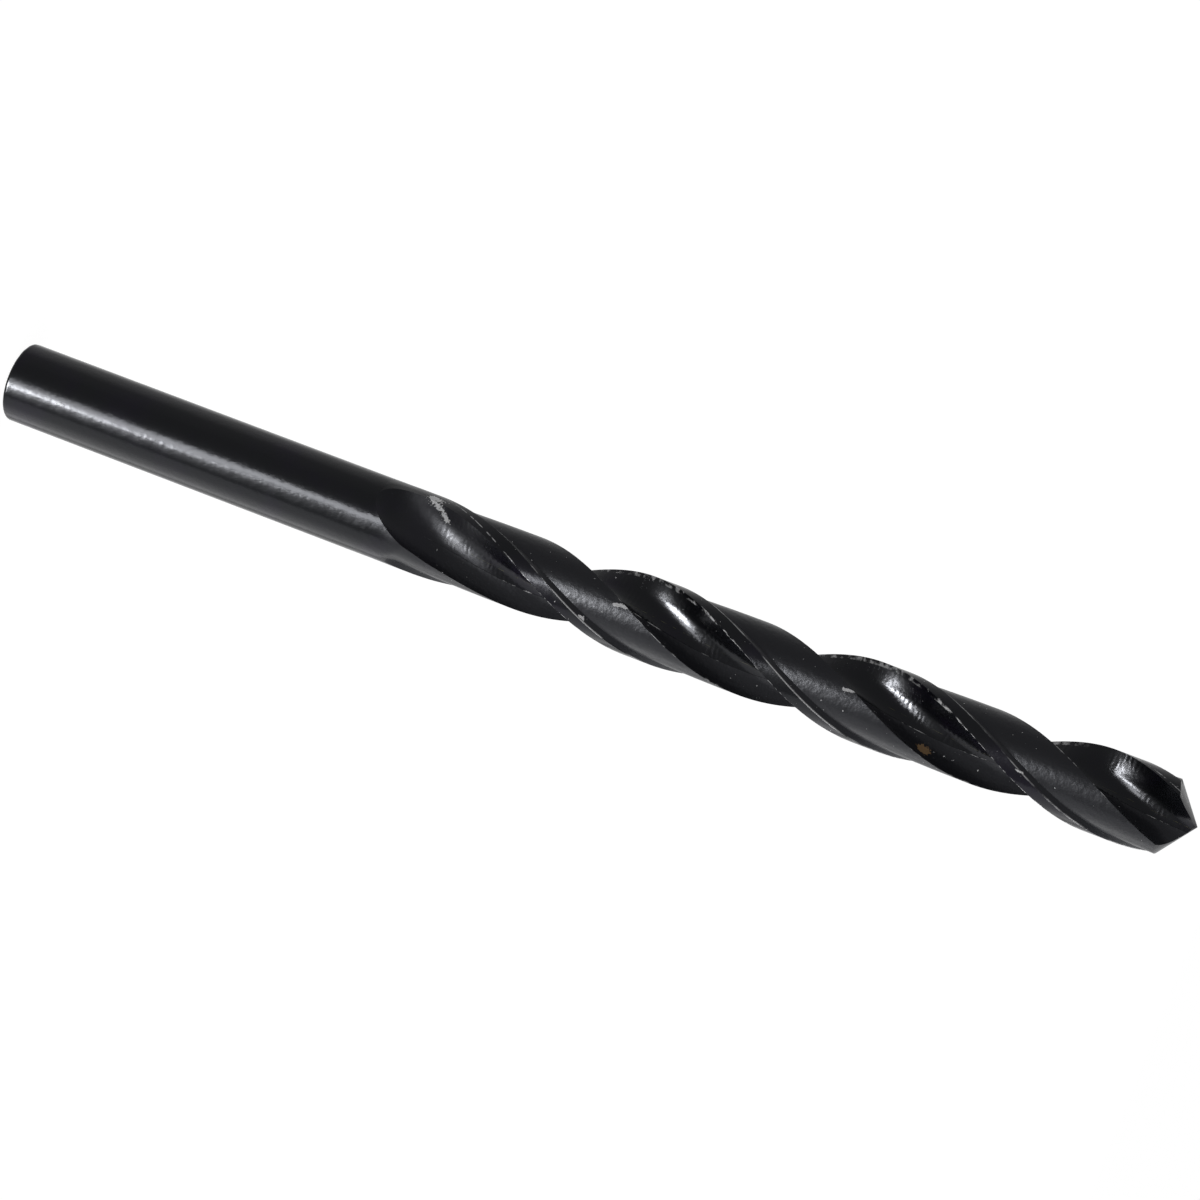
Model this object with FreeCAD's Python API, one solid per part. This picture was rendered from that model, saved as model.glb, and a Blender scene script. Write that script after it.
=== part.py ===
import FreeCAD, Part
import math
import os

# Jobber length twist drill bit with two flutes, standing on the flat end of its shank.
# The axis of the bit is the Z axis, the shank end is at Z = 0 and the point is at the top.
# The outer corners of the two cutting lips are close to the X axis.
# All sizes are in millimetres and all angles in degrees.

# Overall sizes
overall_length = 107.95
flute_length = 73.2
drill_diameter = 7.14

# Shank, a little thinner than the point, so that the body tapers back to it
shank_diameter = 7.03
shank_chamfer = 0.35

# Flutes, which wind right-handed from the shank to the point
flute_count = 2
flute_lead = 41.0
web_at_point = 1.1
web_at_shank = 1.9
land_angle = 89.0

# Lands: a full-size margin behind each leading edge, and the rest ground lower
margin_width = 1.15
clearance_depth = 0.32
step_width = 0.4

# Run-out of each flute, where the grinding wheel rises out of the shank and turns straight
run_out_length = 6.6
straightening_length = 14.0
straightening_angle = 38.0
run_out_widening = 8.0

# Run-out of each cleared land, which ends first at the heel and last beside the margin
clearing_offset = 1.7
clearing_slant = 1.8
clearing_fade = 1.6
clearing_straightening_angle = 24.0

# Point, each half ground on a cone whose tip is just across the axis from its lip
point_angle = 118.0
lip_relief = 8.9
relief_cone_angle = 114.4
relief_cone_reach = 0.2
lip_offset = 0.2

# Spacing of the sections along the flutes, and how far the grinding reaches past the bit
section_spacing = 4.0
grinding_overrun = 1.0
lower_overrun = 0.2

ORIGIN = FreeCAD.Vector(0, 0, 0)
AXIS = FreeCAD.Vector(0, 0, 1)

drill_radius = drill_diameter / 2
shank_radius = shank_diameter / 2
raised_radius = max(drill_radius, shank_radius) + grinding_overrun
outer_reach = raised_radius + grinding_overrun
flute_spacing = 360.0 / flute_count
flute_angle = flute_spacing - land_angle
margin_angle = math.degrees(margin_width / drill_radius)
step_angle = math.degrees(step_width / drill_radius)
flute_start = overall_length - flute_length
clearing_start = flute_start + clearing_offset
grinding_top = overall_length + grinding_overrun


def turned(shape, angle):
    """Return a copy of the shape, turned about the axis of the bit."""
    copy = shape.copy()
    copy.rotate(ORIGIN, AXIS, angle)
    return copy


def polar(radius, angle):
    """Return the point of a cross-section at this radius and angle."""
    radians = math.radians(angle)
    return FreeCAD.Vector(radius * math.cos(radians), radius * math.sin(radians), 0)


def side_of(point):
    """Return the angle at which the point of a cross-section lies."""
    return math.degrees(math.atan2(point.y, point.x))


def line(start, end):
    """Return a straight edge."""
    return Part.LineSegment(start, end).toShape()


def share_below(height, top, length):
    """Return 0 above the top of a zone, growing to 1 at its foot and beyond below it."""
    return max(0.0, (top - height) / length)


def helix_turn(height):
    """Return the angle of the first leading edge at this height, zero at the tip."""
    return 360.0 * (height - overall_length) / flute_lead


def straightening(height):
    """Return the share by which the wheels turn straight at this height."""
    return share_below(height, flute_start + straightening_length, straightening_length) ** 2


def half_web(height):
    """Return half the thickness of the web, which grows from the point to the shank."""
    share = share_below(height, overall_length, flute_length)
    return (web_at_point + (web_at_shank - web_at_point) * share) / 2


def wheel_lift(height):
    """Return how far the wheel has moved outwards, all the way at the end of the flute."""
    share = share_below(height, flute_start + run_out_length, run_out_length)
    return (shank_radius - half_web(height)) * share ** 2


def body_radius(height):
    """Return the radius of the body, which widens from the shank to past the point."""
    share = share_below(height, grinding_top, grinding_top - flute_start)
    return drill_radius + (shank_radius - drill_radius) * min(1.0, share)


def clear_radius(height):
    """Return the radius of the cleared lands above their run-out."""
    return body_radius(height) - clearance_depth


def land_radius(height, share):
    """Return how far in a land is cut, from its heel at share 0 to its margin at 1.

    Below its slanted end the cut stays outside the bit.
    """
    end = clearing_start + clearing_slant * (1 - share)
    rise = min(1.0, share_below(height, end + clearing_fade, 2 * clearing_fade))
    return clear_radius(height) + (raised_radius - clear_radius(height)) * rise ** 2


def flute_floor(height):
    """Return the centre and the radius of the round floor of a flute.

    The floor is an arc that leaves the cutting face along X, touches the web, and comes out
    at the heel of the land across the flute. Its centre is as far from the face as its radius.
    """
    web = half_web(height)
    heel = polar(clear_radius(height), flute_angle + run_out_widening * straightening(height))
    squared_term = heel.y / web - 1
    constant_term = clear_radius(height) ** 2 + heel.y * web
    root = math.sqrt(heel.x ** 2 + squared_term * constant_term)
    centre_x = (root - heel.x) / squared_term
    radius = (centre_x ** 2 - web ** 2) / (2 * web)
    centre = FreeCAD.Vector(centre_x, radius, 0)
    return centre + FreeCAD.Vector(centre).normalize() * wheel_lift(height), radius


def heel_of(centre, radius, reach):
    """Return where the floor arc comes out at this distance from the axis, on the heel side."""
    distance = centre.Length
    cosine = (distance ** 2 + reach ** 2 - radius ** 2) / (2 * distance * reach)
    return polar(reach, side_of(centre) + math.degrees(math.acos(min(1.0, cosine))))


def slope_point(height, radius, margin_side):
    """Return where the straight slope behind a margin is at this distance from the axis."""
    foot = polar(clear_radius(height), margin_side - step_angle)
    along = polar(body_radius(height), margin_side) - foot
    half_sum = foot.dot(along) / along.dot(along)
    rest = (radius ** 2 - foot.dot(foot)) / along.dot(along)
    return foot + along * (math.sqrt(half_sum ** 2 + rest) - half_sum)


def grinding_section(height):
    """Return the outline of all that is ground away between two margins at this height.

    It is the cutting face, the floor, the land, the slope up to the margin, and an arc that
    closes it outside the bit.
    """
    centre, radius = flute_floor(height)
    turn = helix_turn(height) + straightening_angle * straightening(height)
    face_foot = centre - FreeCAD.Vector(0, radius, 0)
    face_top = FreeCAD.Vector(math.sqrt(outer_reach ** 2 - face_foot.y ** 2), face_foot.y, 0)
    heel = heel_of(centre, radius, land_radius(height, 0.0))
    floor_side = centre + polar(radius, (side_of(heel - centre) % 360 + 270) / 2)
    margin_side = helix_turn(height) - turn + flute_spacing - margin_angle
    margin_side += clearing_straightening_angle * straightening(height)
    foot = slope_point(height, land_radius(height, 1.0), margin_side)
    land_side = polar(land_radius(height, 0.5), (side_of(heel) + side_of(foot) % 360) / 2)
    margin = slope_point(height, outer_reach, margin_side)
    outer_side = polar(outer_reach, (side_of(face_top) + side_of(margin) % 360) / 2)
    section = Part.Wire([
        line(face_top, face_foot),
        Part.Arc(face_foot, floor_side, heel).toShape(),
        Part.Arc(heel, land_side, foot).toShape(),
        line(foot, margin),
        Part.Arc(margin, outer_side, face_top).toShape(),
    ])
    section.translate(AXIS * height)
    return turned(section, turn)


def section_heights(marks):
    """Return heights from the first mark to the last, evenly spaced between the marks."""
    heights = [marks[0]]
    for low, high in zip(marks, marks[1:]):
        count = max(2, math.ceil((high - low) / section_spacing))
        heights += [low + (high - low) * step / count for step in range(1, count + 1)]
    return heights


def grinding_space():
    """Return what is ground away between two margins, from the run-out to past the tip."""
    clearing_top = clearing_start + clearing_slant + clearing_fade
    marks = [flute_start - lower_overrun, clearing_start, clearing_top,
             flute_start + run_out_length, flute_start + straightening_length, grinding_top]
    sections = [grinding_section(height) for height in section_heights(marks)]
    return Part.makeLoft(sections, True, False)


def stock():
    """Return the turned blank: the chamfered shank, and the body that widens to the point."""
    profile = Part.makePolygon([
        ORIGIN,
        FreeCAD.Vector(shank_radius - shank_chamfer, 0, 0),
        FreeCAD.Vector(shank_radius, 0, shank_chamfer),
        FreeCAD.Vector(shank_radius, 0, flute_start),
        FreeCAD.Vector(drill_radius, 0, grinding_top),
        FreeCAD.Vector(0, 0, grinding_top),
        ORIGIN,
    ])
    return Part.Face(profile).revolve(ORIGIN, AXIS, 360)


def relief_cone():
    """Return the cone that carries the first flank, its lip level with height 0 at the axis."""
    lip_slope = math.radians(point_angle / 2)
    relief = math.radians(lip_relief)
    half_angle = math.radians(relief_cone_angle / 2)
    down_lip = FreeCAD.Vector(math.sin(lip_slope), 0, -math.cos(lip_slope))
    behind_lip = FreeCAD.Vector(0, -math.cos(relief), -math.sin(relief))
    outwards = behind_lip.cross(down_lip).normalize()
    apex = FreeCAD.Vector(0, lip_offset, 0)
    apex -= down_lip * (relief_cone_reach / math.sin(lip_slope))
    cone_axis = down_lip * math.cos(half_angle) - outwards * math.sin(half_angle)
    cone_length = 2 * (relief_cone_reach + drill_diameter)
    base_radius = cone_length * math.tan(half_angle)
    return Part.makeCone(0, base_radius, cone_length, apex, cone_axis)


def chisel_height(cone):
    """Return the height at which the axis of the bit leaves the cone."""
    inside = cone.common(Part.makeLine(-AXIS * drill_diameter, AXIS * drill_diameter))
    return inside.BoundBox.ZMax


def point_waste():
    """Return what the point grinding takes off the top of the bit."""
    cone = relief_cone()
    cone.translate(AXIS * (overall_length - chisel_height(cone)))
    point = turned(cone, 0)
    for index in range(1, flute_count):
        point = point.common(turned(cone, index * flute_spacing))
    depth = drill_diameter
    block = Part.makeCylinder(outer_reach, depth + 2 * grinding_overrun,
                              AXIS * (overall_length - depth))
    return block.cut(point)


def drill_bit():
    """Return the whole bit, one piece of ground steel."""
    grinding = grinding_space()
    bit = stock().cut(point_waste())
    for index in range(flute_count):
        bit = bit.cut(turned(grinding, index * flute_spacing))
    return bit


os.makedirs("parts", exist_ok=True)
shape = drill_bit()
print("solids", len(shape.Solids), "valid", shape.isValid(), "volume", round(shape.Volume, 2))
print("box", shape.BoundBox)
shape.exportStep("parts/drill_bit.step")
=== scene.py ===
import math

import bpy
from mathutils import Matrix, Vector


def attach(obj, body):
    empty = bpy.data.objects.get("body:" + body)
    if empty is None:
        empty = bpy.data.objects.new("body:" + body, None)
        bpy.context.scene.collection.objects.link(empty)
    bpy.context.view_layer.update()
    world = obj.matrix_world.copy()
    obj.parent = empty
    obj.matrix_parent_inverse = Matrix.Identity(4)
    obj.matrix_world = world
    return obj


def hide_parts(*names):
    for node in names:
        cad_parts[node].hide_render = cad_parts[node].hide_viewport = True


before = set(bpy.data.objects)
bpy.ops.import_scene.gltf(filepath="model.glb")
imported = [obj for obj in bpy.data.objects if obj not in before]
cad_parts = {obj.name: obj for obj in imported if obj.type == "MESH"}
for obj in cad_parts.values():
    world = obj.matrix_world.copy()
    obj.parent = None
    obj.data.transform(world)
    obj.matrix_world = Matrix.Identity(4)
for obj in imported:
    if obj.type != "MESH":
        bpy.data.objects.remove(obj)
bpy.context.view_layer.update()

# Twist drill bit in black oxide steel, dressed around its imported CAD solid.
# The bit stands on its shank end: the axis is Z, the point is at the top, and sizes are in metres.

bl_info = {
    "name": "Twist drill bit",
    "version": (1, 0, 0),
    "blender": (4, 5, 0),
    "location": "3D View > Sidebar > Drill Bit",
    "description": "Models the twist drill bit over its packed solid and sets it on a pale stage",
    "category": "Object",
}

BIT_NAME = "twist_drill_bit"
FINISH_NAME = "black_oxide_steel"
FULL_TURN = 2 * math.pi
MILLIMETRES_PER_METRE = 1000


def millimetres(value):
    """Return a length given in millimetres in metres."""
    return value * 0.001


def in_millimetres(size):
    """Return a length given in metres in millimetres."""
    return size * MILLIMETRES_PER_METRE


# Rings of the blank: round its end, just above that as multiples of the rounding, up the shank,
# where a flute opens, and past the point
ROUNDING_RINGS = 6
CLOSE_RINGS = (1.0, 1.1, 1.2)
SHANK_RING_SPACING = millimetres(2.5)
OPENING_HEIGHT = millimetres(1.2)
OPENING_RINGS = 12
RINGS_PAST_POINT = 3

# How near two corners are to be merged, and how flat an edge is to be smoothed
MERGE_DISTANCE = millimetres(0.002)
SMOOTH_ANGLE = math.radians(22)

# The block that the point grinding takes away: facets, rise over the tip, reach past the side
BLOCK_SIDES = 64
BLOCK_RISE = millimetres(1.5)
BLOCK_OVERLAP = millimetres(1.0)

# Camera: width of its sensor in millimetres, and the nearest and furthest that it sees
SENSOR_WIDTH = 36
NEAR_CLIP = millimetres(10)
FAR_CLIP = 10

# Where the finish of the flutes and of the run-out fades in and out, in millimetres above
# the end of the flutes
FLUTED_FADE_IN = (4, 8)
RUN_OUT_FADE_IN = (1, 3)
RUN_OUT_FADE_OUT = (12, 9)

# Depths under the shank's surface, in millimetres, where a leading edge has none and where it has all
# of its near-white line, which is partly worn bare steel and partly painted highlight
NO_EDGE_LINE_DEPTH = 0.42
FULL_EDGE_LINE_DEPTH = 0.3

# Over what share of half a turn one ground surface changes into the next
HEEL_BLUR = 0.004
CORNER_BLUR = 0.012
FLUTE_BLUR = 0.01
SPECK_BLUR = 0.05

# Near-white lines, partly worn bare and partly painted highlight, and the painted highlight line in
# the flutes: widths in line widths, and how strongly the corner of a margin is painted bare and
# highlit
CORNER_LINE = 1.2
STREAK_LINE = 2
CORNER_WEAR_AND_HIGHLIGHT = 0.8

# Ragged outline of a spot: how noise stretches and evens it, and how much of its width is full
SPOT_STRETCH = 2.2
SPOT_EVENING = 0.1
SPOT_CORE = 0.7

# How much the roughness of the oxide swings from place to place
ROUGHNESS_SWING = 0.08

# Sockets that tell where on the bit a point is
PLACE_SOCKETS = (("Place", "NodeSocketVector"), ("Height", "NodeSocketFloat"),
                 ("Around", "NodeSocketFloat"), ("Fluted", "NodeSocketFloat"),
                 ("Outer", "NodeSocketFloat"))

# Rusty spots, and near-white spots that are partly bare steel and partly painted glints (the fleck at
# the run-out and the blobs by the heels are painted glints), placed after the photo: start, end and
# half width of each, in millimetres from the middle of the shank end
RUST_SPOTS = (((0.60, 2.25, 85.0), (0.35, 2.31, 85.4), 0.42),)
GLINT_AND_BARE_SPOTS = (
    ((2.54, -2.36, 38.99), (2.32, -1.97, 40.0), 0.44),
    ((2.32, -1.97, 40.0), (1.79, -1.35, 40.77), 0.40),
    ((2.06, 2.67, 54.75), (2.01, 2.71, 55.05), 0.16),
    ((3.10, 0.94, 57.2), (3.06, 0.80, 58.3), 0.18),
    ((3.15, 0.82, 77.6), (3.11, 0.68, 78.5), 0.15),
    ((3.04, 1.86, 5.1), (3.01, 1.74, 5.6), 0.09),
    ((3.01, 2.00, 93.0), (2.88, 1.97, 93.6), 0.10),
)


def length(name, description, size):
    """Return a property for a length, with its default given in millimetres."""
    return bpy.props.FloatProperty(name=name, description=description, default=millimetres(size),
                                   subtype="DISTANCE", unit="LENGTH", precision=5)


def angle(name, description, size):
    """Return a property for an angle, with its default given in degrees."""
    return bpy.props.FloatProperty(name=name, description=description, default=math.radians(size),
                                   subtype="ANGLE", unit="ROTATION")


def count(name, description, size):
    """Return a property for a whole number."""
    return bpy.props.IntProperty(name=name, description=description, default=size, min=1)


def amount(name, description, size):
    """Return a property for a plain number."""
    return bpy.props.FloatProperty(name=name, description=description, default=size, precision=4)


def colour(name, description, shade):
    """Return a property for a colour."""
    return bpy.props.FloatVectorProperty(name=name, description=description, default=shade,
                                         size=3, min=0.0, max=1.0, subtype="COLOR")


class DrillBitSizes(bpy.types.PropertyGroup):
    """Sizes of the drill bit."""

    overall_length: length("Overall length", "From the shank end to the point", 107.94)
    flute_length: length("Flute length", "From the lowest end of the flutes to the point", 73.2)
    drill_diameter: length("Drill diameter", "Across the margins at the point", 7.13)
    shank_diameter: length("Shank diameter", "Across the plain shank", 7.028)
    shank_rounding: length("Shank rounding", "Rounded edge round the shank end", 0.35)
    flute_lead: length("Flute lead", "Height of one full turn of a flute", 41.0)
    web_at_point: length("Web at point", "Thickness of the core at the point", 1.1)
    web_at_shank: length("Web at shank", "Thickness of the core at the shank", 1.9)
    land_angle: angle("Land angle", "How far round a land reaches", 89.0)
    margin_width: length("Margin width", "Full-size strip behind a leading edge", 1.15)
    clearance_depth: length("Clearance depth", "How much lower the land is by its margin", 0.42)
    heel_depth: length("Heel depth", "How much lower the land is at its heel", 0.27)
    step_width: length("Step width", "Slope from the margin down to the land", 0.45)
    run_out_length: length("Run-out length", "Height over which a flute fades", 6.6)
    straightening_length: length("Straightening length", "Height over which it winds less", 17.0)
    straightening_angle: angle("Straightening angle", "How far a flute lags at its end", 42.0)
    run_out_widening: angle("Run-out widening", "How much wider a flute is at its end", 13.0)
    clearing_offset: length("Clearing offset", "From the flute end to the cleared land", 1.7)
    clearing_slant: length("Clearing slant", "How much higher the land ends at its heel", 1.8)
    clearing_fade: length("Clearing fade", "Rise at the lower edge of the cleared land", 1.6)
    clearing_lag: angle("Clearing lag", "How far a margin lags at its lower end", 25.0)
    face_lead: angle("Face lead", "How far the cutting face is ahead at the point", 6.5)
    face_lead_length: length("Face lead length", "Height over which it gets ahead", 14.0)
    point_angle: angle("Point angle", "Between the two lips", 126.4)
    lip_relief: angle("Lip relief", "How far a flank falls away behind its lip", 15.1)
    relief_cone_angle: angle("Relief cone angle", "Full angle of the cone of a flank", 127.0)
    relief_cone_reach: length("Relief cone reach", "From the axis out to the cone's tip", 0.1)
    ring_spacing: length("Ring spacing", "Between the rings of the ground surfaces", 0.4)
    cone_sides: count("Cone sides", "Facets round the cone of a flank", 240)
    flute_columns: count("Flute columns", "Facets across a flute", 36)
    land_columns: count("Land columns", "Facets across a cleared land", 20)
    margin_columns: count("Margin columns", "Facets across a margin", 12)


class DrillBitFinish(bpy.types.PropertyGroup):
    """Look of the black oxide steel."""

    oxide: colour("Oxide", "Colour of the black oxide", (0.0052, 0.0056, 0.0072))
    land_oxide: colour("Land oxide", "Greyer oxide on the lands", (0.0175, 0.0178, 0.021))
    violet_oxide: colour("Violet oxide", "Where the oxide is tinged", (0.0068, 0.0048, 0.0125))
    # Near white for the worn edges, lines, specks and spots: partly bare steel, partly painted
    # highlights and glints
    bare_steel_and_highlight: colour("Bare steel", "Worn edges, lines and specks", (0.9, 0.9, 0.91))
    # A painted highlight: the yellowish line along each flute
    painted_yellow_highlight: colour("Yellow steel", "Old oil on worn lines in the flutes", (0.11, 0.105, 0.05))
    rust: colour("Rust", "The small rusty spot by a heel", (0.26, 0.165, 0.085))
    roughness: amount("Roughness", "Roughness of the shank and the flutes", 0.2)
    land_roughness: amount("Land roughness", "Roughness of the lands", 0.3)
    reflection: amount("Reflection", "Specular level of the oxide", 0.11)
    sheen: colour("Sheen", "Colour of what the oxide reflects", (0.92, 0.94, 1.0))
    run_out_roughness: amount("Run-out roughness", "Roughness of the run-out", 0.3)
    run_out_grey: amount("Run-out grey", "How grey the oxide of the run-out is", 0.7)
    # The line at the worn corner of a margin is partly bare steel and partly painted highlight
    margin_corner: amount("Margin corner", "Share of half a turn to the worn corner", 0.897)
    heel_place: amount("Heel place", "Share of half a turn to the heel", 0.506)
    # Where the painted highlight line runs along each flute
    streak_place: amount("Streak place", "Share of half a turn to the oily line", 0.31)
    # The worn lines are partly bare steel and partly painted highlight
    line_width: amount("Line width", "Width of the worn lines, as such a share", 0.0065)
    ripple_spacing: length("Ripple spacing", "Between the grinding marks of a flute", 0.45)
    ripple_depth: length("Ripple depth", "Height of the grinding marks", 0.005)
    ripple_wander: amount("Ripple wander", "How far the grinding marks stray, in radians", 9.0)
    grain_depth: length("Grain depth", "Height of the grain of the ground lands", 0.026)
    polish_depth: length("Polish depth", "Height of the unevenness of the shank", 0.015)


class DrillBitStage(bpy.types.PropertyGroup):
    """Camera, lamps, floor and surroundings."""

    camera_place: bpy.props.FloatVectorProperty(
        name="Camera place", description="Where the camera stands",
        default=(0.2757317, 0.0980894, 0.1208989), size=3, subtype="TRANSLATION", precision=6)
    camera_target: bpy.props.FloatVectorProperty(
        name="Camera target", description="The point in the middle of the picture",
        default=(0.0000175, -0.0000492, 0.055195), size=3, subtype="TRANSLATION", precision=6)
    camera_roll: angle("Camera roll", "Turn of the camera about its line of sight", 110.772)
    camera_lens: amount("Camera lens", "Focal length in millimetres", 107.444)
    lamp_distance: length("Lamp distance", "From the bit to each lamp", 1200.0)
    lamp_aim: length("Lamp aim", "Height on the bit that the lamps face", 54.0)
    strip_strength: amount("Strip strength", "Brightness of the slanted strip lamp", 230.0)
    strip_width: length("Strip width", "Width of the strip lamp", 340.0)
    strip_height: length("Strip height", "Height of the strip lamp", 450.0)
    strip_side: angle("Strip side", "Direction of the strip lamp from the camera's", 26.0)
    strip_rise: angle("Strip rise", "Height of the strip lamp above level", -35.5)
    strip_slant: angle("Strip slant", "Turn of the strip lamp from upright", 46.0)
    faint_strength: amount("Faint strength", "Brightness of the strip lamp's fainter end", 46.0)
    faint_width: length("Faint width", "Width of the faint lamp", 270.0)
    faint_height: length("Faint height", "Height of the faint lamp", 210.0)
    faint_side: angle("Faint side", "Direction of the faint lamp from the camera's", 10.5)
    faint_rise: angle("Faint rise", "Height of the faint lamp above level", -18.5)
    key_strength: amount("Key strength", "Brightness of the broad lamp", 2.2)
    key_width: length("Key width", "Width and height of the broad lamp", 1700.0)
    key_side: angle("Key side", "Direction of the broad lamp from the camera's", 95.0)
    key_rise: angle("Key rise", "Height of the broad lamp above level", -6.0)
    floor_width: length("Floor width", "Width of the square floor", 6000.0)
    floor_shade: colour("Floor shade", "Colour of the floor's matt part", (0.9, 0.9, 0.9))
    floor_glow: amount("Floor glow", "Brightness of the floor's glow to the camera", 1.12)
    floor_glow_share: amount("Floor glow share", "How much of the floor glows", 0.85)
    surroundings_light: amount("Surroundings light", "How much the surroundings light", 0.45)


def share_below(height, top, depth):
    """Return 0 above the top of a zone, growing to 1 at its foot and beyond below it."""
    return max(0.0, (top - height) / depth)


def flute_end(sizes):
    """Return the height of the lowest end of the flutes."""
    return sizes.overall_length - sizes.flute_length


def half_web(sizes, height):
    """Return half the thickness of the core at a height."""
    share = share_below(height, sizes.overall_length, sizes.flute_length)
    return (sizes.web_at_point + (sizes.web_at_shank - sizes.web_at_point) * share) / 2


def wheel_lift(sizes, height):
    """Return how far the wheel has risen out of the flute at a height."""
    top = flute_end(sizes) + sizes.run_out_length
    share = share_below(height, top, sizes.run_out_length)
    return (sizes.shank_diameter / 2 - half_web(sizes, height)) * share ** 2


def helix_turn(sizes, height):
    """Return the angle of the first leading edge at a height, zero at the point."""
    return FULL_TURN * (height - sizes.overall_length) / sizes.flute_lead


def straightening(sizes, height):
    """Return the share by which the wheels turn straight at a height."""
    top = flute_end(sizes) + sizes.straightening_length
    return share_below(height, top, sizes.straightening_length) ** 2


def flute_turn(sizes, height):
    """Return the angle of a flute at a height, which winds less near its lower end."""
    return helix_turn(sizes, height) + sizes.straightening_angle * straightening(sizes, height)


def face_turn(sizes, height):
    """Return how far the cutting face is turned ahead, which makes the lip straight."""
    share = 1 - min(1.0, share_below(height, sizes.overall_length, sizes.face_lead_length))
    return sizes.face_lead * share ** 2 * (3 - 2 * share)


def outer_radius(sizes, height):
    """Return the radius of the turned blank at a height."""
    shank_radius = sizes.shank_diameter / 2
    rounding = sizes.shank_rounding
    if height < rounding:
        rest = 1 - height / rounding
        return shank_radius - rounding * (1 - math.sqrt(max(0.0, 1 - rest ** 2)))
    share = 1 - min(1.0, share_below(height, sizes.overall_length, sizes.flute_length))
    return shank_radius + (sizes.drill_diameter / 2 - shank_radius) * share


def land_radius(sizes, height, share):
    """Return the radius of a land, from its heel at share 0 to the margin's foot at 1."""
    reach = outer_radius(sizes, height)
    ground = reach - sizes.heel_depth - (sizes.clearance_depth - sizes.heel_depth) * share ** 2
    low_end = flute_end(sizes) + sizes.clearing_offset + sizes.clearing_slant * (1 - share)
    rise = min(1.0, share_below(height, low_end + sizes.clearing_fade, sizes.clearing_fade))
    return ground + (reach - ground) * rise ** 2


def flute_floor(sizes, height):
    """Return the centre and the radius of the round floor of a flute, its face along X."""
    web = half_web(sizes, height)
    heel_angle = math.pi - sizes.land_angle + sizes.run_out_widening * straightening(sizes, height)
    heel_radius = outer_radius(sizes, height) - sizes.heel_depth
    heel = polar(heel_radius, heel_angle)
    squared_term = heel.y / web - 1
    root = math.sqrt(heel.x ** 2 + squared_term * (heel_radius ** 2 + heel.y * web))
    centre_x = (root - heel.x) / squared_term
    radius = (centre_x ** 2 - web ** 2) / (2 * web)
    return Vector((centre_x, radius, 0)), radius


def flute_corners(sizes, height):
    """Return centre, radius and the angles of both corners of a flute, its face along X."""
    centre, radius = flute_floor(sizes, height)
    centre += centre.normalized() * wheel_lift(sizes, height)
    direction = math.atan2(centre.y, centre.x)
    distance = centre.length
    openings = []
    for reach in (outer_radius(sizes, height), land_radius(sizes, height, 0.0)):
        cosine = (distance ** 2 + reach ** 2 - radius ** 2) / (2 * distance * reach)
        openings.append(math.acos(max(-1.0, min(1.0, cosine))))
    leading = direction - openings[0]
    reach = outer_radius(sizes, height)
    if reach * math.cos(leading) > centre.x:
        leading = math.asin((centre.y - radius) / reach)
    return centre, radius, leading, direction + openings[1]


def flute_outline(sizes, height):
    """Return points along the face and the floor of a flute, from leading edge to heel."""
    centre, radius, leading, heel = flute_corners(sizes, height)
    start = polar(outer_radius(sizes, height), leading)
    end = polar(land_radius(sizes, height, 0.0), heel)
    face = max(0.0, start.x - centre.x)
    start_lean = -math.pi / 2
    if face == 0.0:
        start_lean = math.atan2(start.y - centre.y, start.x - centre.x)
    end_lean = math.atan2(end.y - centre.y, end.x - centre.x)
    sweep = (start_lean - end_lean) % FULL_TURN
    # A sweep just below nothing has come round to nearly a full turn
    if sweep > 0.75 * FULL_TURN:
        sweep = 0.0
    whole = face + sweep * radius
    ahead = face_turn(sizes, height)
    points = []
    for column in range(sizes.flute_columns + 1):
        share = column / sizes.flute_columns
        along = whole * share
        point = Vector((start.x - along, start.y, 0))
        if along >= face:
            point = centre + polar(radius, start_lean - (along - face) / radius)
        points.append(Matrix.Rotation(ahead * (1 - share) ** 2, 3, "Z") @ point)
    return points


def half_section(sizes, height):
    """Return the outline of half the bit at a height: flute, cleared land, slope and margin."""
    turn = flute_turn(sizes, height)
    turned = Matrix.Rotation(turn, 3, "Z")
    outline = [turned @ point for point in flute_outline(sizes, height)]
    _, _, leading, heel = flute_corners(sizes, height)
    next_leading = turn + leading + face_turn(sizes, height) + math.pi
    reach = outer_radius(sizes, height)
    margin_angle = helix_turn(sizes, height) + sizes.clearing_lag * straightening(sizes, height)
    margin_angle += math.pi - sizes.margin_width / reach
    foot_angle = margin_angle - sizes.step_width / reach
    for column in range(1, sizes.land_columns + 1):
        share = column / sizes.land_columns
        lean = turn + heel + (foot_angle - turn - heel) * share
        outline.append(polar(land_radius(sizes, height, share), lean))
    for column in range(sizes.margin_columns):
        share = column / sizes.margin_columns
        outline.append(polar(reach, margin_angle + (next_leading - margin_angle) * share))
    return outline


def polar(radius, lean):
    """Return the point of a cross-section at this radius and angle."""
    return Vector((radius * math.cos(lean), radius * math.sin(lean), 0))


def deselect_all():
    """Leave nothing selected, so that an operator acts on the new piece alone."""
    if bpy.context.object and bpy.context.object.mode != "OBJECT":
        bpy.ops.object.mode_set(mode="OBJECT")
    bpy.ops.object.select_all(action="DESELECT")


def heights_between(low, high, spacing):
    """Return evenly spaced heights from low to high, without the last."""
    steps = math.ceil(abs((high - low) / spacing))
    return [low + (high - low) * step / steps for step in range(steps)]


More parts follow.
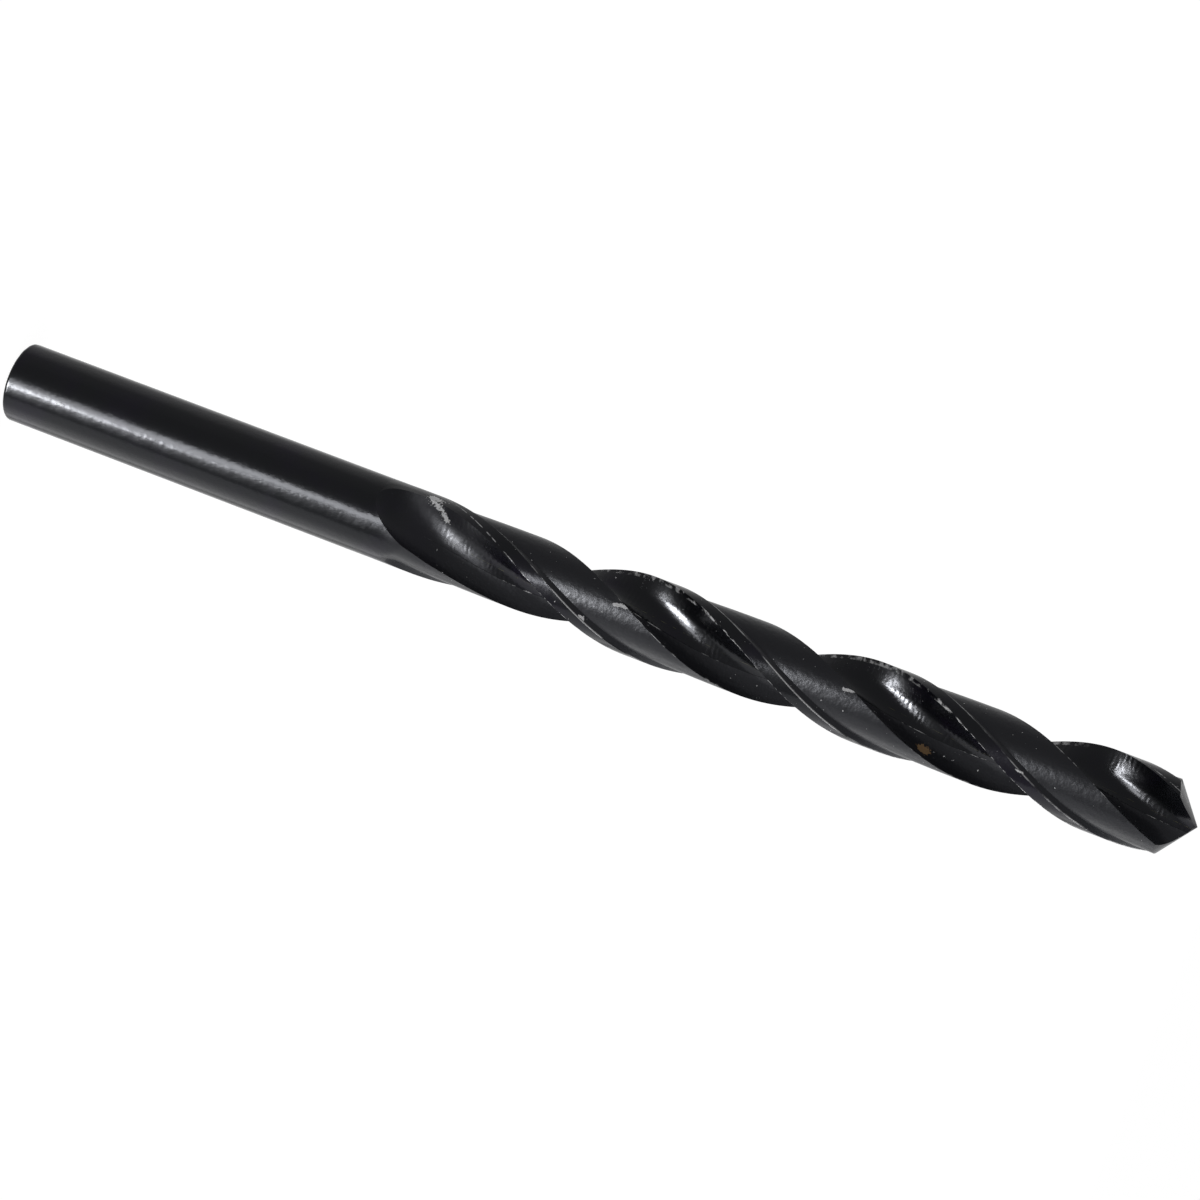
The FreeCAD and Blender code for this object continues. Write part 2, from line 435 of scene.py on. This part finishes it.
def ring_heights(sizes):
    """Return the heights of the rings from the shank end to past the point, closer at the run-out."""
    end = flute_end(sizes)
    rounding = sizes.shank_rounding
    heights = [rounding * (1 - math.cos(math.pi / 2 * step / ROUNDING_RINGS))
               for step in range(ROUNDING_RINGS)]
    heights += [multiple * rounding for multiple in CLOSE_RINGS[:-1]]
    heights += heights_between(CLOSE_RINGS[-1] * rounding, end, SHANK_RING_SPACING)
    heights += [end + OPENING_HEIGHT * (step / OPENING_RINGS) ** 2 for step in range(OPENING_RINGS)]
    close_top = end + sizes.run_out_length
    heights += heights_between(end + OPENING_HEIGHT, close_top, sizes.ring_spacing / 2)
    heights += heights_between(close_top, sizes.overall_length, sizes.ring_spacing)
    top = sizes.overall_length + RINGS_PAST_POINT * rounding
    heights += heights_between(sizes.overall_length, top, rounding)
    return heights


def close_shape():
    """Merge doubles, turn all faces outwards and go back to object mode."""
    bpy.ops.mesh.select_all(action="SELECT")
    bpy.ops.mesh.remove_doubles(threshold=MERGE_DISTANCE)
    bpy.ops.mesh.normals_make_consistent(inside=False)
    bpy.ops.object.mode_set(mode="OBJECT")


def add_fluted_blank(sizes):
    """Add the blank with its lands and flutes, drawn up ring by ring from the shank end."""
    heights = ring_heights(sizes)
    columns = 2 * (sizes.flute_columns + sizes.land_columns + sizes.margin_columns + 1)
    deselect_all()
    bpy.ops.mesh.primitive_circle_add(vertices=columns, radius=sizes.shank_diameter / 2,
                                      fill_type="NGON")
    bpy.ops.object.mode_set(mode="EDIT")
    bpy.ops.mesh.select_all(action="SELECT")
    for low, high in zip(heights, heights[1:]):
        bpy.ops.mesh.extrude_region_move(TRANSFORM_OT_translate={"value": (0, 0, high - low)})
    bpy.ops.object.mode_set(mode="OBJECT")
    blank = bpy.context.object
    grind_rings(sizes, blank, heights, columns)
    bpy.ops.object.mode_set(mode="EDIT")
    close_shape()
    return blank


def grind_rings(sizes, blank, heights, columns):
    """Move each ring of the blank to the outline that the bit has at its height."""
    shank_leads = [point.copy() for point in half_section(sizes, flute_end(sizes))]
    rings = {}
    for vertex in blank.data.vertices:
        ring = min(range(len(heights)), key=lambda index: abs(heights[index] - vertex.co.z))
        if ring not in rings:
            height = heights[ring]
            if height < flute_end(sizes):
                grow = outer_radius(sizes, height) / outer_radius(sizes, flute_end(sizes))
                half = [point * grow for point in shank_leads]
            else:
                half = half_section(sizes, height)
            rings[ring] = half + [-point for point in half]
        column = round(math.atan2(vertex.co.y, vertex.co.x) / FULL_TURN * columns) % columns
        place = rings[ring][column]
        vertex.co.x = place.x
        vertex.co.y = place.y
    blank.data.update()


def relief_cone_place(sizes, start_angle):
    """Return the tip and the axis of the cone that carries one flank, lip at height 0."""
    lip_slope = sizes.point_angle / 2
    half_angle = sizes.relief_cone_angle / 2
    down_lip = Vector((math.sin(lip_slope), 0, -math.cos(lip_slope)))
    behind_lip = Vector((0, -math.cos(sizes.lip_relief), -math.sin(sizes.lip_relief)))
    outwards = behind_lip.cross(down_lip).normalized()
    tip = down_lip * (-sizes.relief_cone_reach / math.sin(lip_slope))
    axis = down_lip * math.cos(half_angle) - outwards * math.sin(half_angle)
    turned = Matrix.Rotation(start_angle, 3, "Z")
    return turned @ tip, turned @ axis


def cone_top_on_axis(sizes):
    """Return the height at which the bit's axis leaves the flank's cone."""
    tip, axis = relief_cone_place(sizes, 0.0)
    squared_cosine = math.cos(sizes.relief_cone_angle / 2) ** 2
    square = axis.z ** 2 - squared_cosine
    mixed = axis.z * axis.dot(tip) - squared_cosine * tip.z
    constant = axis.dot(tip) ** 2 - squared_cosine * tip.dot(tip)
    root = math.sqrt(mixed ** 2 - square * constant)
    heights = [(mixed + root) / square, (mixed - root) / square]
    return max(height for height in heights if (Vector((0, 0, height)) - tip).dot(axis) > 0)


def add_point_waste(sizes, start_angle):
    """Add the block over the point, hollowed by the cone that carries one flank."""
    depth = sizes.drill_diameter
    deselect_all()
    bpy.ops.mesh.primitive_cylinder_add(
        vertices=BLOCK_SIDES, radius=sizes.drill_diameter / 2 + BLOCK_OVERLAP, depth=depth,
        location=(0, 0, sizes.overall_length + BLOCK_RISE - depth / 2))
    bpy.ops.object.transform_apply(location=True, rotation=True, scale=True)
    block = bpy.context.object
    tip, axis = relief_cone_place(sizes, start_angle)
    tip.z += sizes.overall_length - cone_top_on_axis(sizes)
    reach = 2 * (sizes.relief_cone_reach + sizes.drill_diameter)
    deselect_all()
    bpy.ops.mesh.primitive_cone_add(
        vertices=sizes.cone_sides, radius1=reach * math.tan(sizes.relief_cone_angle / 2),
        radius2=0, depth=reach, location=tip + axis * reach / 2,
        rotation=(-axis).to_track_quat("Z", "Y").to_euler())
    bpy.ops.object.transform_apply(location=True, rotation=True, scale=True)
    cut_away(block, bpy.context.object)
    return block


def cut_away(piece, cutter):
    """Cut the cutter's space out of the piece and remove the cutter."""
    deselect_all()
    piece.select_set(True)
    bpy.context.view_layer.objects.active = piece
    cut = piece.modifiers.new("Cut", "BOOLEAN")
    cut.operation = "DIFFERENCE"
    cut.solver = "EXACT"
    cut.object = cutter
    bpy.ops.object.modifier_apply(modifier=cut.name)
    bpy.data.objects.remove(cutter)


class DRILLBIT_OT_bit(bpy.types.Operator):
    """Adds the drill bit: turned blank, cleared lands, flutes and point, in black oxide steel"""

    bl_idname = "drill_bit.bit"
    bl_label = "Drill bit"

    def execute(self, context):
        sizes = context.scene.drill_bit_sizes
        bit = add_fluted_blank(sizes)
        for start_angle in (0.0, math.pi):
            cut_away(bit, add_point_waste(sizes, start_angle))
        finish_shape(bit)
        bit.name = BIT_NAME
        bit.data.materials.append(black_oxide_steel(sizes, context.scene.drill_bit_finish))
        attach(bit, "root")
        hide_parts("drill_bit")
        return {"FINISHED"}


def finish_shape(bit):
    """Merge doubles, turn the faces outwards and smooth all but the ground edges."""
    deselect_all()
    bit.select_set(True)
    bpy.context.view_layer.objects.active = bit
    bpy.ops.object.mode_set(mode="EDIT")
    close_shape()
    bpy.ops.object.shade_smooth_by_angle(angle=SMOOTH_ANGLE)


def compute(tree, operation, *values):
    """Add a math node and return its result."""
    node = tree.nodes.new("ShaderNodeMath")
    node.operation = operation
    feed(tree, node, values)
    return node.outputs["Value"]


def feed(tree, node, values):
    """Set or link the first inputs of a node."""
    for socket, value in zip(node.inputs, values):
        if isinstance(value, bpy.types.NodeSocket):
            tree.links.new(value, socket)
        else:
            socket.default_value = value


def fade(tree, value, low, high):
    """Return a mask that rises smoothly from 0 at low to 1 at high."""
    node = tree.nodes.new("ShaderNodeMapRange")
    node.interpolation_type = "SMOOTHSTEP"
    feed(tree, node, (value, low, high))
    return node.outputs["Result"]


def noise(tree, place, scale, detail):
    """Return noise at a place in millimetres, with so many grains to the millimetre."""
    node = tree.nodes.new("ShaderNodeTexNoise")
    node.inputs["Scale"].default_value = scale
    node.inputs["Detail"].default_value = detail
    tree.links.new(place, node.inputs["Vector"])
    return node.outputs["Fac"]


def patches(tree, place, scale, detail, low, high):
    """Return a mask of patches, where noise fades in between two levels."""
    return fade(tree, noise(tree, place, scale, detail), low, high)


def product(tree, first, *others):
    """Return the product of several masks, each a value or a socket."""
    for other in others:
        first = compute(tree, "MULTIPLY", first, other)
    return first


def blend(tree, share, first, second):
    """Return a mix of two colours, each a value or a socket."""
    node = tree.nodes.new("ShaderNodeMix")
    node.data_type = "RGBA"
    tree.links.new(share, node.inputs["Factor"])
    colours = [socket for socket in node.inputs if socket.type == "RGBA"]
    for socket, value in zip(colours, (first, second)):
        if isinstance(value, bpy.types.NodeSocket):
            tree.links.new(value, socket)
        else:
            socket.default_value = (*value, 1)
    return [socket for socket in node.outputs if socket.type == "RGBA"][0]


def new_group(name, inputs, outputs):
    """Return a new node group with the sockets of its inside, inputs first."""
    tree = bpy.data.node_groups.new(name, "ShaderNodeTree")
    for socket_name, kind in inputs:
        tree.interface.new_socket(socket_name, in_out="INPUT", socket_type=kind)
    for socket_name, kind in outputs:
        tree.interface.new_socket(socket_name, in_out="OUTPUT", socket_type=kind)
    return tree, tree.nodes.new("NodeGroupInput").outputs, tree.nodes.new("NodeGroupOutput").inputs


def use_group(tree, group, values=()):
    """Add a node group to a tree, feed its inputs and return its outputs."""
    node = tree.nodes.new("ShaderNodeGroup")
    node.node_tree = group
    feed(tree, node, values)
    return node.outputs


def bit_places(sizes):
    """Return the group that tells where on the bit a point is, in millimetres.

    Around goes from 0 at a leading edge over the flute and the land to 1 at the next edge.
    Outer is 1 near the full diameter and 0 down in a flute.
    """
    tree, _, outputs = new_group("Bit places", (), PLACE_SOCKETS)
    coordinates = tree.nodes.new("ShaderNodeTexCoord")
    scaled = tree.nodes.new("ShaderNodeVectorMath")
    scaled.operation = "SCALE"
    scaled.inputs["Scale"].default_value = MILLIMETRES_PER_METRE
    tree.links.new(coordinates.outputs["Object"], scaled.inputs[0])
    parts = tree.nodes.new("ShaderNodeSeparateXYZ")
    tree.links.new(scaled.outputs["Vector"], parts.inputs[0])
    height = parts.outputs["Z"]
    below_tip = compute(tree, "SUBTRACT", height, in_millimetres(sizes.overall_length))
    turn = compute(tree, "MULTIPLY", below_tip, 2 / in_millimetres(sizes.flute_lead))
    lean = compute(tree, "ARCTAN2", parts.outputs["Y"], parts.outputs["X"])
    half_turns = compute(tree, "DIVIDE", lean, math.pi)
    around = compute(tree, "FRACT", compute(tree, "SUBTRACT", half_turns, turn))
    across = compute(tree, "MULTIPLY", parts.outputs["X"], parts.outputs["X"])
    deep = compute(tree, "MULTIPLY", parts.outputs["Y"], parts.outputs["Y"])
    radius = compute(tree, "SQRT", compute(tree, "ADD", across, deep))
    rim = in_millimetres(sizes.shank_diameter / 2)
    tree.links.new(fade(tree, radius, rim - NO_EDGE_LINE_DEPTH, rim - FULL_EDGE_LINE_DEPTH), outputs["Outer"])
    tree.links.new(scaled.outputs["Vector"], outputs["Place"])
    tree.links.new(height, outputs["Height"])
    tree.links.new(around, outputs["Around"])
    tree.links.new(fade_above(tree, height, sizes, FLUTED_FADE_IN), outputs["Fluted"])
    return tree


def fade_above(tree, height, sizes, rises):
    """Return a mask that rises from 0 to 1 between two places above the end of the flutes."""
    end = in_millimetres(flute_end(sizes))
    return fade(tree, height, end + rises[0], end + rises[1])


def land_mask(tree, around, fluted, finish):
    """Return a mask of the cleared lands."""
    past_heel = fade(tree, around, finish.heel_place - HEEL_BLUR, finish.heel_place + HEEL_BLUR)
    before_corner = fade(tree, around, finish.margin_corner, finish.margin_corner - CORNER_BLUR)
    return product(tree, past_heel, before_corner, fluted)


def grinding_marks(finish):
    """Return the group that gives the fine relief of the ground steel, in millimetres."""
    outside = (("Relief", "NodeSocketFloat"), ("Land", "NodeSocketFloat"))
    tree, inputs, outputs = new_group("Grinding marks", PLACE_SOCKETS, outside)
    place = inputs["Place"]
    land = land_mask(tree, inputs["Around"], inputs["Fluted"], finish)
    in_flute = fade(tree, inputs["Around"], finish.heel_place + FLUTE_BLUR,
                    finish.heel_place - FLUTE_BLUR)
    in_flute = product(tree, in_flute, inputs["Fluted"])
    wander = product(tree, noise(tree, place, scale=0.9, detail=2), finish.ripple_wander)
    waves = product(tree, inputs["Height"], FULL_TURN / in_millimetres(finish.ripple_spacing))
    ripple = compute(tree, "SINE", compute(tree, "ADD", waves, wander))
    rippled = patches(tree, place, scale=0.55, detail=3, low=0.42, high=0.62)
    ripple = product(tree, ripple, rippled, in_millimetres(finish.ripple_depth), in_flute)
    grain = noise(tree, place, scale=2.4, detail=4)
    grain = product(tree, grain, in_millimetres(finish.grain_depth), land)
    polish = noise(tree, place, scale=2.0, detail=5)
    polish = product(tree, polish, in_millimetres(finish.polish_depth))
    relief = compute(tree, "ADD", compute(tree, "ADD", ripple, grain), polish)
    tree.links.new(relief, outputs["Relief"])
    tree.links.new(land, outputs["Land"])
    return tree


def wear_and_highlight_marks(finish):
    """Return the group that masks the near-white edges and broken lines, partly worn bare and partly
    painted highlight, the specks of painted glint, and the painted highlight line in each flute.
    """
    outside = (("Painted highlight and bare", "NodeSocketFloat"), ("Yellow", "NodeSocketFloat"))
    tree, inputs, outputs = new_group("Wear and painted highlights", PLACE_SOCKETS, outside)
    place = inputs["Place"]
    around = inputs["Around"]
    gaps = patches(tree, place, scale=0.35, detail=5, low=0.47, high=0.6)
    fine_gaps = patches(tree, place, scale=1.6, detail=4, low=0.45, high=0.62)
    long_gaps = patches(tree, place, scale=0.28, detail=4, low=0.46, high=0.6)
    # Lines at the margin corners, the leading edges and the heels: partly worn bare steel, partly
    # painted highlight
    corner = line_mask(tree, around, finish.margin_corner, CORNER_LINE * finish.line_width)
    corner = product(tree, long_gaps, CORNER_WEAR_AND_HIGHLIGHT, corner)
    edge = fade(tree, compute(tree, "PINGPONG", around, 0.5), finish.line_width, 0.0)
    edge = product(tree, edge, fine_gaps, inputs["Outer"])
    heel = line_mask(tree, around, finish.heel_place, finish.line_width)
    heel = product(tree, heel, gaps, fine_gaps)
    # Specks on the lands: painted glints
    specks = patches(tree, place, scale=3.2, detail=2, low=0.725, high=0.77)
    outside_flute = fade(tree, around, finish.heel_place, finish.heel_place + SPECK_BLUR)
    specks = product(tree, specks, outside_flute)
    lines = compute(tree, "MAXIMUM", compute(tree, "MAXIMUM", corner, edge), heel)
    bare_and_highlight = product(tree, compute(tree, "MAXIMUM", lines, specks), inputs["Fluted"])
    # The yellowish line in each flute: a painted highlight
    streak = line_mask(tree, around, finish.streak_place, STREAK_LINE * finish.line_width)
    streak = product(tree, streak, fine_gaps, inputs["Fluted"])
    tree.links.new(bare_and_highlight, outputs["Painted highlight and bare"])
    tree.links.new(streak, outputs["Yellow"])
    return tree


def line_mask(tree, around, middle, width):
    """Return a mask of a thin line that winds along the bit."""
    distance = compute(tree, "ABSOLUTE", compute(tree, "SUBTRACT", around, middle))
    return fade(tree, distance, width, 0.0)


def spot_mask():
    """Return the group that masks a rough-edged streak between two places, in millimetres."""
    inside = (("Place", "NodeSocketVector"), ("Start", "NodeSocketVector"),
              ("End", "NodeSocketVector"), ("Width", "NodeSocketFloat"))
    tree, inputs, outputs = new_group("Spot", inside, (("Mask", "NodeSocketFloat"),))
    along = vector_result(tree, "SUBTRACT", inputs["End"], inputs["Start"])
    offset = vector_result(tree, "SUBTRACT", inputs["Place"], inputs["Start"])
    share = compute(tree, "DIVIDE", dot(tree, offset, along), dot(tree, along, along))
    share = compute(tree, "MINIMUM", compute(tree, "MAXIMUM", share, 0.0), 1.0)
    scaled = tree.nodes.new("ShaderNodeVectorMath")
    scaled.operation = "SCALE"
    tree.links.new(along, scaled.inputs[0])
    tree.links.new(share, scaled.inputs["Scale"])
    rest = vector_result(tree, "SUBTRACT", offset, scaled.outputs["Vector"])
    distance = compute(tree, "SQRT", dot(tree, rest, rest))
    rough = product(tree, noise(tree, inputs["Place"], scale=5.5, detail=4), SPOT_STRETCH)
    distance = product(tree, distance, compute(tree, "SUBTRACT", rough, SPOT_EVENING))
    narrow = product(tree, inputs["Width"], SPOT_CORE)
    tree.links.new(fade(tree, distance, inputs["Width"], narrow), outputs["Mask"])
    return tree


def vector_result(tree, operation, first, second):
    """Add a vector math node and return its vector."""
    node = tree.nodes.new("ShaderNodeVectorMath")
    node.operation = operation
    feed(tree, node, (first, second))
    return node.outputs["Vector"]


def dot(tree, first, second):
    """Return the dot product of two vectors."""
    node = tree.nodes.new("ShaderNodeVectorMath")
    node.operation = "DOT_PRODUCT"
    feed(tree, node, (first, second))
    return node.outputs["Value"]


def spots(tree, group, place, marks):
    """Return one mask of several streaks, each with start, end and half width."""
    mask = None
    for start, end, width in marks:
        one = use_group(tree, group, (place, start, end, width))["Mask"]
        mask = one if mask is None else compute(tree, "MAXIMUM", mask, one)
    return mask


def run_out_mask(tree, sizes, height):
    """Return a mask of the run-out of the flutes, where the oxide is duller."""
    above_shank = fade_above(tree, height, sizes, RUN_OUT_FADE_IN)
    below_body = fade_above(tree, height, sizes, RUN_OUT_FADE_OUT)
    return product(tree, above_shank, below_body)


def black_oxide_steel(sizes, finish):
    """Return the material of the bit."""
    material = bpy.data.materials.new(FINISH_NAME)
    material.use_nodes = True
    tree = material.node_tree
    shader = tree.nodes["Principled BSDF"]
    places = use_group(tree, bit_places(sizes))
    inside = [places[name] for name, _ in PLACE_SOCKETS]
    marks = use_group(tree, grinding_marks(finish), inside)
    wear_and_highlight = use_group(tree, wear_and_highlight_marks(finish), inside)
    spot = spot_mask()
    place = places["Place"]
    tinge = patches(tree, place, scale=0.22, detail=4, low=0.45, high=0.7)
    shade = blend(tree, tinge, finish.oxide, finish.violet_oxide)
    scoop = run_out_mask(tree, sizes, places["Height"])
    greyer = compute(tree, "MAXIMUM", marks["Land"], product(tree, scoop, finish.run_out_grey))
    shade = blend(tree, greyer, shade, finish.land_oxide)
    # Painted highlight: the yellowish line in each flute
    shade = blend(tree, wear_and_highlight["Yellow"], shade, finish.painted_yellow_highlight)
    # Near-white lines, specks and spots: partly bare steel, partly painted highlights and glints
    bare_and_highlight = compute(tree, "MAXIMUM", wear_and_highlight["Painted highlight and bare"], spots(tree, spot, place, GLINT_AND_BARE_SPOTS))
    shade = blend(tree, bare_and_highlight, shade, finish.bare_steel_and_highlight)
    shade = blend(tree, spots(tree, spot, place, RUST_SPOTS), shade, finish.rust)
    tree.links.new(shade, shader.inputs["Base Color"])
    step = product(tree, marks["Land"], finish.land_roughness - finish.roughness)
    uneven = product(tree, noise(tree, place, scale=0.8, detail=5), ROUGHNESS_SWING)
    dulling = product(tree, scoop, finish.run_out_roughness - finish.roughness)
    step = compute(tree, "MAXIMUM", step, dulling)
    roughness = compute(tree, "ADD", step, uneven)
    roughness = compute(tree, "ADD", roughness, finish.roughness - ROUGHNESS_SWING / 2)
    tree.links.new(roughness, shader.inputs["Roughness"])
    shader.inputs["Specular Tint"].default_value = (*finish.sheen, 1)
    shader.inputs["Specular IOR Level"].default_value = finish.reflection
    bump = tree.nodes.new("ShaderNodeBump")
    bump.inputs["Distance"].default_value = millimetres(1)
    tree.links.new(marks["Relief"], bump.inputs["Height"])
    tree.links.new(bump.outputs["Normal"], shader.inputs["Normal"])
    return material


class DRILLBIT_OT_stage(bpy.types.Operator):
    """Adds the floor, the lamps, the white surroundings and the camera"""

    bl_idname = "drill_bit.stage"
    bl_label = "Stage"

    def execute(self, context):
        stage = context.scene.drill_bit_stage
        add_floor(stage)
        add_surroundings(context.scene, stage)
        strip = add_lamp(stage, "strip_lamp", stage.strip_side, stage.strip_rise,
                         stage.strip_width, stage.strip_height, stage.strip_strength,
                         stage.strip_slant)
        strip.visible_diffuse = False
        faint = add_lamp(stage, "faint_lamp", stage.faint_side, stage.faint_rise,
                         stage.faint_width, stage.faint_height, stage.faint_strength)
        faint.visible_diffuse = False
        add_lamp(stage, "key_lamp", stage.key_side, stage.key_rise,
                 stage.key_width, stage.key_width, stage.key_strength)
        bpy.ops.object.camera_add()
        camera = context.object
        camera.data.lens = stage.camera_lens
        camera.data.sensor_width = SENSOR_WIDTH
        look_at(camera, stage.camera_place, stage.camera_target, stage.camera_roll)
        context.scene.camera = camera
        context.scene.view_settings.view_transform = "Standard"
        return {"FINISHED"}


def look_at(camera, place, target, roll):
    """Put the camera at a place, aim it at the target and roll it about its line of sight."""
    forward = (Vector(target) - Vector(place)).normalized()
    upright = forward.to_track_quat("-Z", "Y")
    camera.location = place
    camera.rotation_mode = "QUATERNION"
    camera.rotation_quaternion = upright @ Matrix.Rotation(roll, 3, "Z").to_quaternion()
    camera.data.clip_start = NEAR_CLIP
    camera.data.clip_end = FAR_CLIP


def add_lamp(stage, name, side, rise, width, tall, strength, slant=0.0):
    """Add a rectangular lamp that faces the bit, to one side of the camera.

    Its strength is its radiance, 1 for white.
    """
    side += math.atan2(stage.camera_place[1], stage.camera_place[0])
    outwards = Vector((math.cos(rise) * math.cos(side), math.cos(rise) * math.sin(side),
                       math.sin(rise)))
    sideways = Vector((-math.sin(side), math.cos(side), 0))
    upwards = outwards.cross(sideways)
    long_way = upwards * math.cos(slant) - sideways * math.sin(slant)
    middle = Vector((0, 0, stage.lamp_aim))
    bpy.ops.object.light_add(type="AREA", location=middle + outwards * stage.lamp_distance)
    lamp = bpy.context.object
    lamp.name = name
    lamp.rotation_mode = "QUATERNION"
    axes = Matrix((long_way.cross(outwards), long_way, outwards)).transposed()
    lamp.rotation_quaternion = axes.to_quaternion()
    lamp.data.shape = "RECTANGLE"
    lamp.data.size = width
    lamp.data.size_y = tall
    lamp.data.energy = strength * math.pi * width * tall
    lamp.visible_camera = False
    return lamp


def add_floor(stage):
    """Add the pale floor, which shows white and keeps a faint shadow of the bit."""
    deselect_all()
    bpy.ops.mesh.primitive_plane_add(size=stage.floor_width)
    floor = bpy.context.object
    floor.name = "floor"
    material = bpy.data.materials.new("pale_floor")
    material.use_nodes = True
    tree = material.node_tree
    tree.nodes.clear()
    output = tree.nodes.new("ShaderNodeOutputMaterial")
    mix = tree.nodes.new("ShaderNodeMixShader")
    mix.inputs["Fac"].default_value = stage.floor_glow_share
    matt = tree.nodes.new("ShaderNodeBsdfDiffuse")
    matt.inputs["Color"].default_value = (*stage.floor_shade, 1)
    glow = tree.nodes.new("ShaderNodeEmission")
    rays = tree.nodes.new("ShaderNodeLightPath").outputs
    level = product(tree, rays["Is Camera Ray"], stage.floor_glow)
    tree.links.new(level, glow.inputs["Strength"])
    tree.links.new(matt.outputs["BSDF"], mix.inputs[1])
    tree.links.new(glow.outputs["Emission"], mix.inputs[2])
    tree.links.new(mix.outputs["Shader"], output.inputs["Surface"])
    floor.data.materials.append(material)
    floor.visible_glossy = False
    floor.visible_shadow = False


def add_surroundings(scene, stage):
    """Make the surroundings white to the camera and in reflections, and plain light elsewhere."""
    world = bpy.data.worlds.new("Pale surroundings")
    world.use_nodes = True
    tree = world.node_tree
    background = tree.nodes["Background"]
    background.inputs["Color"].default_value = (1, 1, 1, 1)
    rays = tree.nodes.new("ShaderNodeLightPath").outputs
    level = stage.surroundings_light
    for kind in ("Is Camera Ray", "Is Glossy Ray", "Is Transmission Ray"):
        level = compute(tree, "MAXIMUM", rays[kind], level)
    tree.links.new(level, background.inputs["Strength"])
    scene.world = world


class DRILLBIT_PT_panel(bpy.types.Panel):
    """Sizes, finish and stage of the drill bit"""

    bl_label = "Drill Bit"
    bl_idname = "DRILLBIT_PT_panel"
    bl_space_type = "VIEW_3D"
    bl_region_type = "UI"
    bl_category = "Drill Bit"

    def draw(self, context):
        scene = context.scene
        for settings in (scene.drill_bit_sizes, scene.drill_bit_finish, scene.drill_bit_stage):
            box = self.layout.box()
            for name in settings.__annotations__:
                box.prop(settings, name)
        self.layout.operator(DRILLBIT_OT_bit.bl_idname)
        self.layout.operator(DRILLBIT_OT_stage.bl_idname)


CLASSES = (DrillBitSizes, DrillBitFinish, DrillBitStage, DRILLBIT_OT_bit, DRILLBIT_OT_stage,
           DRILLBIT_PT_panel)


def register():
    """Register the classes and give each scene its sizes, finish and stage."""
    for cls in CLASSES:
        bpy.utils.register_class(cls)
    bpy.types.Scene.drill_bit_sizes = bpy.props.PointerProperty(type=DrillBitSizes)
    bpy.types.Scene.drill_bit_finish = bpy.props.PointerProperty(type=DrillBitFinish)
    bpy.types.Scene.drill_bit_stage = bpy.props.PointerProperty(type=DrillBitStage)


def unregister():
    """Take back what register added."""
    del bpy.types.Scene.drill_bit_stage
    del bpy.types.Scene.drill_bit_finish
    del bpy.types.Scene.drill_bit_sizes
    for cls in reversed(CLASSES):
        bpy.utils.unregister_class(cls)


def main():
    """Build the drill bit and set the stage."""
    register()
    bpy.ops.drill_bit.bit()
    bpy.ops.drill_bit.stage()


if __name__ == "__main__":
    main()
